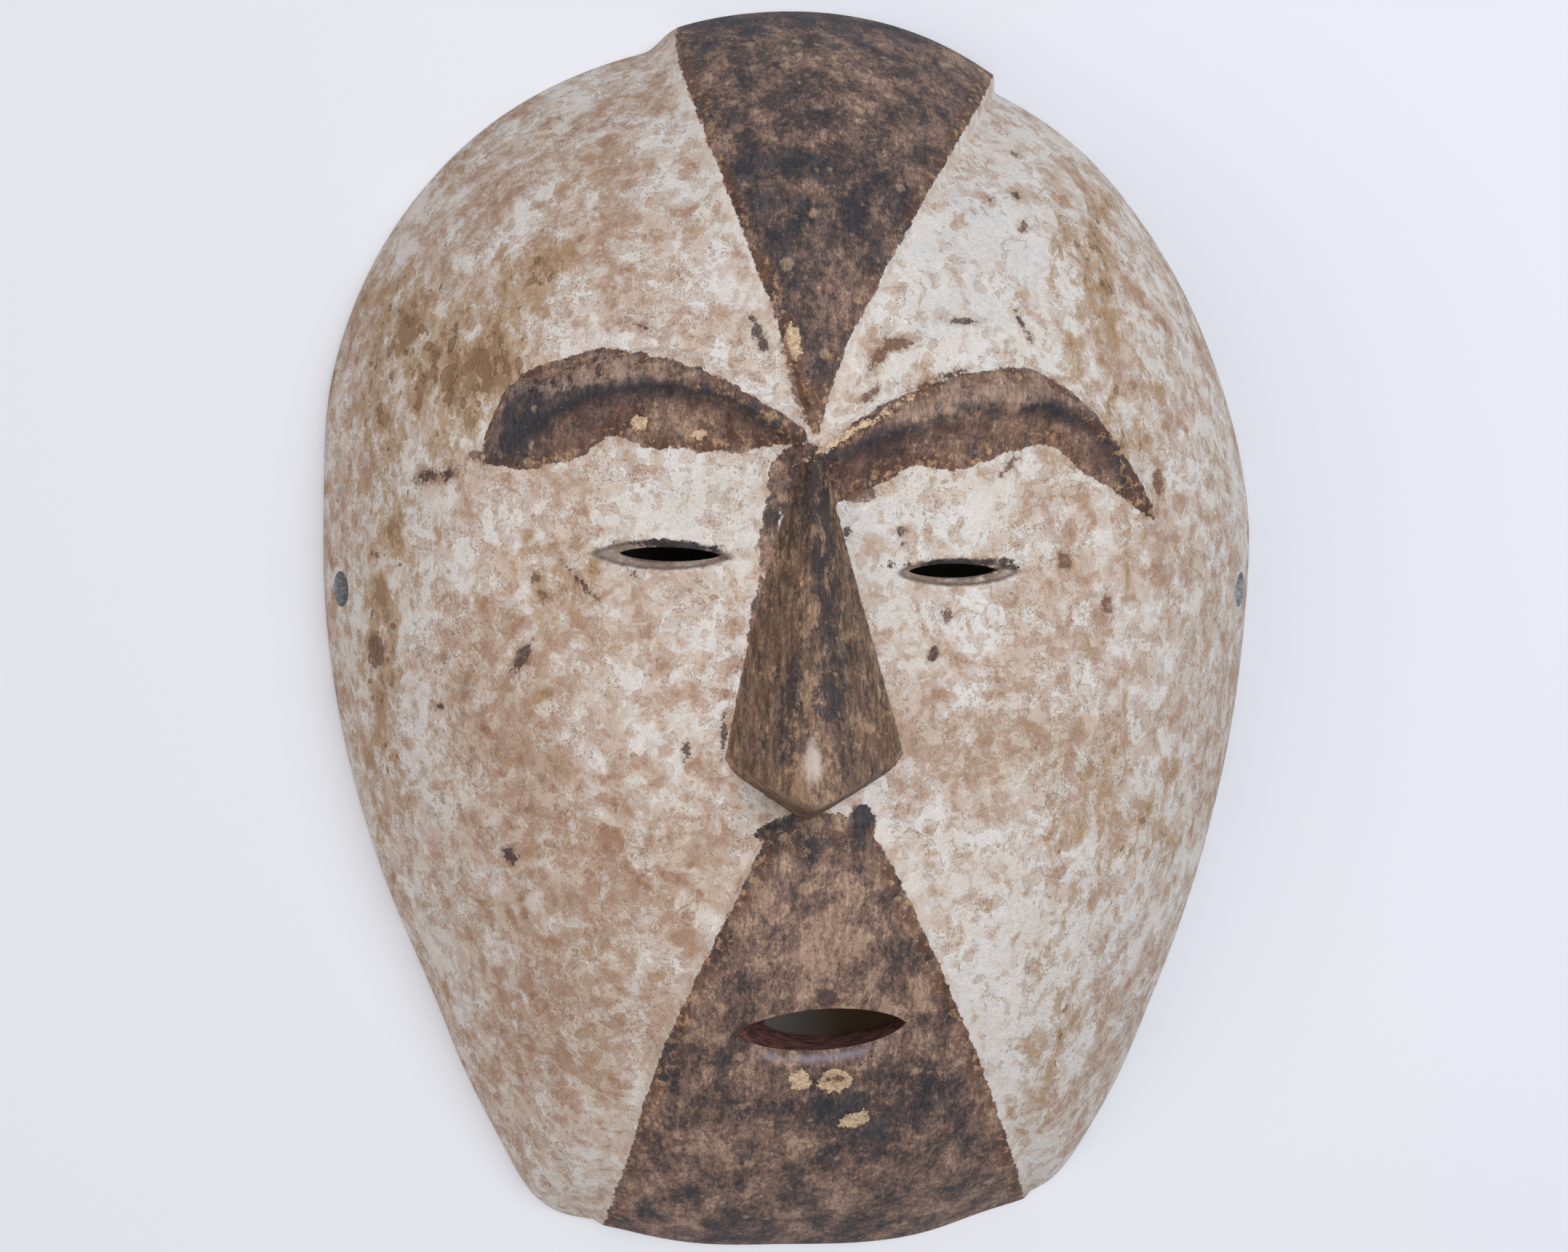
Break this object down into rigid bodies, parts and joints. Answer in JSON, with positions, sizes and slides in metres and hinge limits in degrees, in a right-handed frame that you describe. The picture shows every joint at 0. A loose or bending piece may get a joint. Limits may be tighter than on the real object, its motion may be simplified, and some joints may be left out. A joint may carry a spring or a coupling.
{
  "type": "carved face mask",
  "caption": "Oval carved wooden face mask with a long pyramid nose, arched brows, eye slits, a lens mouth, a raised forehead wedge and chin field, hollow behind.",
  "frame": {"origin": "middle of the mask's outline on the plane of its rim, which lies on the ground", "axes": "+Z comes out of the face, +Y runs from the chin to the crown, +X is to the right of someone who looks at the face"},
  "size_m": [0.2302, 0.3056, 0.098],
  "materials": {
    "painted_wood": "matte white clay wash over light wood, with dark brown fields on the forehead, brows, nose and chin"
  },
  "bodies": {
    "root": {"mask": "painted_wood"}
  },
  "joints": []
}
